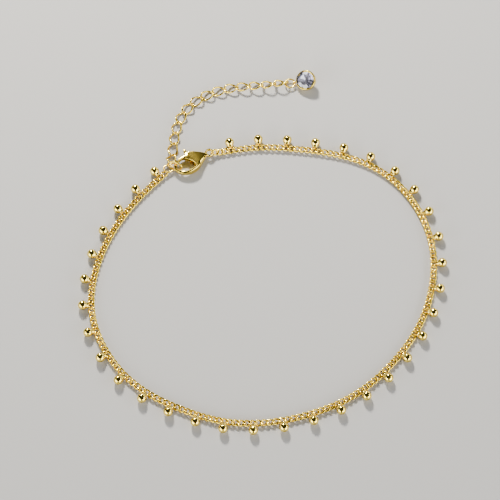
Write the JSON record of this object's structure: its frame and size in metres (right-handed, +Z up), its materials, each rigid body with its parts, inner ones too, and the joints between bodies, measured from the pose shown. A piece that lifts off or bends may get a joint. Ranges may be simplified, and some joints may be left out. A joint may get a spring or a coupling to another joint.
{
  "type": "charm anklet",
  "caption": "Gold-coloured curb-chain anklet with small ball charms, lobster clasp, extender chain and a round clear stone drop, lying flat.",
  "frame": {"origin": "centre of the anklet's footprint on the surface it lies on", "axes": "+Z up, +Y away from the viewer towards the clasp and the extender, +X to the viewer's right"},
  "size_m": [0.0823, 0.0924, 0.0033],
  "materials": {
    "chain_gold": "polished, gold-plated",
    "ball_gold": "polished, gold-plated",
    "extender_gold": "polished, gold-plated",
    "gold_plate": "polished, gold-plated",
    "clear_stone": "cut and polished"
  },
  "bodies": {
    "anklet": {"main_chain": "chain_gold", "ball_charm_01": "ball_gold", "ball_charm_02": "ball_gold", "ball_charm_03": "ball_gold", "ball_charm_04": "ball_gold", "ball_charm_05": "ball_gold", "ball_charm_06": "ball_gold", "ball_charm_07": "ball_gold", "ball_charm_08": "ball_gold", "ball_charm_09": "ball_gold", "ball_charm_10": "ball_gold", "ball_charm_11": "ball_gold", "ball_charm_12": "ball_gold", "ball_charm_13": "ball_gold", "ball_charm_14": "ball_gold", "ball_charm_15": "ball_gold", "ball_charm_16": "ball_gold", "ball_charm_17": "ball_gold", "ball_charm_18": "ball_gold", "ball_charm_19": "ball_gold", "ball_charm_20": "ball_gold", "ball_charm_21": "ball_gold", "ball_charm_22": "ball_gold", "ball_charm_23": "ball_gold", "ball_charm_24": "ball_gold", "ball_charm_25": "ball_gold", "ball_charm_26": "ball_gold", "ball_charm_27": "ball_gold", "ball_charm_28": "ball_gold", "ball_charm_29": "ball_gold", "ball_charm_30": "ball_gold", "ball_charm_31": "ball_gold", "ball_charm_32": "ball_gold", "ball_charm_33": "ball_gold", "ball_charm_34": "ball_gold", "ball_charm_35": "ball_gold", "clasp_body": "gold_plate", "chain_jump_ring": "gold_plate", "extender_chain": "extender_gold", "drop_bezel": "gold_plate", "drop_jump_ring": "gold_plate", "drop_stone": "clear_stone"},
    "lever": {"clasp_lever": "gold_plate"}
  },
  "joints": [
    {"name": "clasp_lever_hinge", "type": "hinge", "parent": "anklet", "child": "lever", "pos_m": [-0.01623, 0.02352, 0.001], "axis": [0, 0, 1], "range_deg": [0, 25], "stiffness_Nm_per_rad": 0.002, "springref_deg": -11.46}
  ]
}
